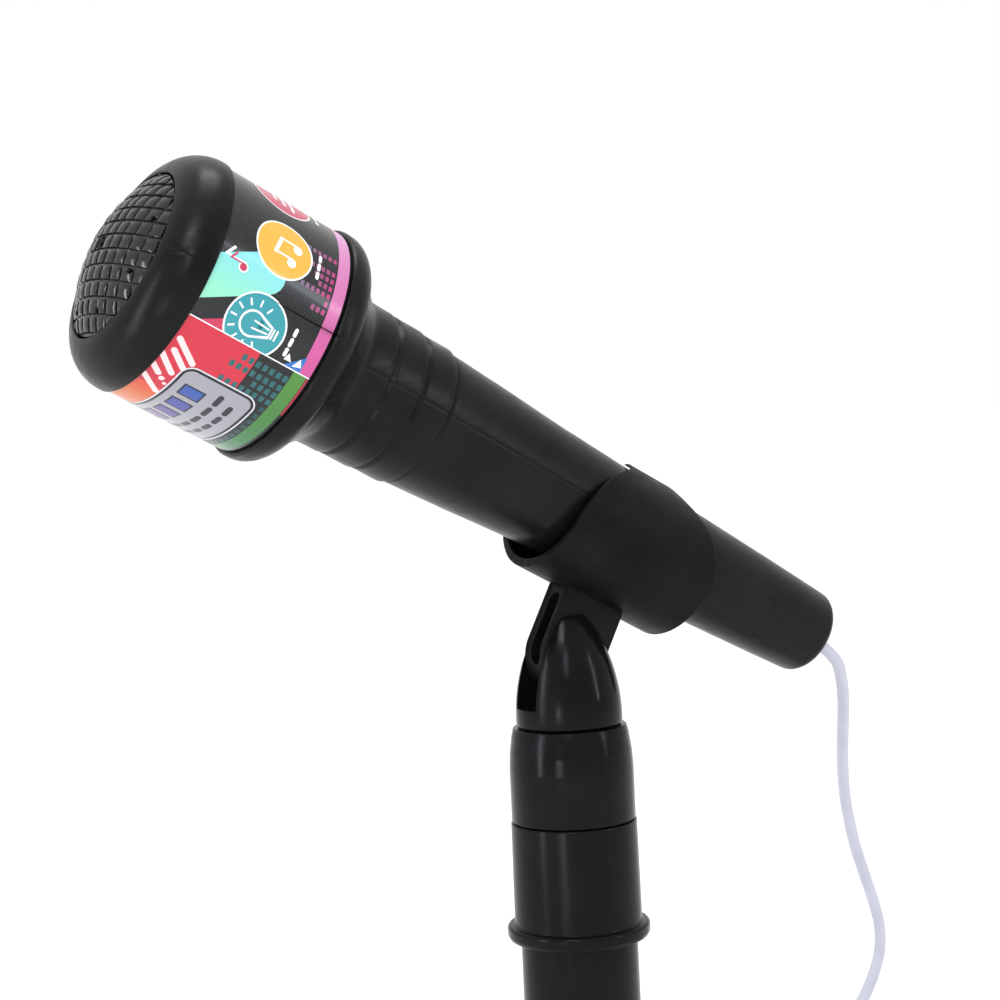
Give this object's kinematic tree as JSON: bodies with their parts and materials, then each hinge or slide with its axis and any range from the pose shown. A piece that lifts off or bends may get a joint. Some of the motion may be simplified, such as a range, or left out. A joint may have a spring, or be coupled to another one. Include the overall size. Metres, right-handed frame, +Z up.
{
  "type": "toy microphone",
  "caption": "Toy handheld microphone in a tilting C-shaped clip on the top tube of a stand, with a tiled dome grille, label band and a thin corded plug.",
  "frame": {"origin": "centre of the stand tube's open lower end, where the tube goes on down to the rest of the stand", "axes": "+Z up along the stand tube, -X towards the microphone's head, +X towards its tail and cord, +Y along the tilt pin towards its head"},
  "size_m": [0.23, 0.0554, 0.2437],
  "materials": {
    "mic_body": "satin black moulded plastic",
    "grille_plastic": "shiny black moulded plastic, tiled like wire mesh",
    "stand_plastic": "glossy black moulded plastic with fine vertical streaks",
    "clip_plastic": "semi-matt black flexible plastic, faintly grained",
    "label_function": "glossy printed film with round picture symbols",
    "label_title": "glossy printed film with coloured blocks and a plain plate",
    "foam": "open-cell black foam",
    "soft_rubber": "soft black rubber",
    "inner_plastic": "uncoloured inner plastic",
    "steel": "zinc-plated steel",
    "plug_metal": "bright nickel plate",
    "cord_jacket": "smooth white vinyl jacket",
    "lead_red": "red wire insulation",
    "lead_black": "black insulation"
  },
  "bodies": {
    "stand": {"stand_tube": "stand_plastic", "collar_lower": "stand_plastic", "collar_upper": "stand_plastic"},
    "fork": {"fork": "stand_plastic", "tilt_screw": "steel", "tilt_washer": "steel", "swivel_screw": "steel", "swivel_washer": "steel"},
    "clip": {"clip": "clip_plastic"},
    "microphone": {"upper_shell": "mic_body", "lower_shell": "mic_body", "grille": "grille_plastic", "grille_foam": "foam", "capsule": "steel", "capsule_boot": "soft_rubber", "capsule_bracket": "inner_plastic", "lead_red": "lead_red", "lead_black": "lead_black", "cord_clamp": "inner_plastic", "clamp_screw_1": "steel", "clamp_screw_2": "steel", "cord_grommet": "soft_rubber", "shell_screw_1": "steel", "shell_screw_2": "steel", "shell_screw_3": "steel", "shell_screw_4": "steel", "function_label": "label_function", "title_label": "label_title", "cord": "cord_jacket", "cord_coil": "cord_jacket", "cord_end": "cord_jacket", "cord_tie": "soft_rubber", "plug_grip": "cord_jacket", "plug_sleeve": "plug_metal", "plug_insulator": "lead_black", "plug_tip": "plug_metal"}
  },
  "joints": [
    {"name": "swivel", "type": "hinge", "parent": "stand", "child": "fork", "pos_m": [0, 0, 0.1106], "axis": [0, 0, 1], "continuous": true},
    {"name": "tilt", "type": "hinge", "parent": "fork", "child": "clip", "pos_m": [0, 0, 0.1274], "axis": [0, 1, 0], "range_deg": [-108, 51]},
    {"name": "mic_slide", "type": "slide", "parent": "clip", "child": "microphone", "axis": [-0.8776, 0, 0.4795], "range_m": [0, 0.045]}
  ]
}
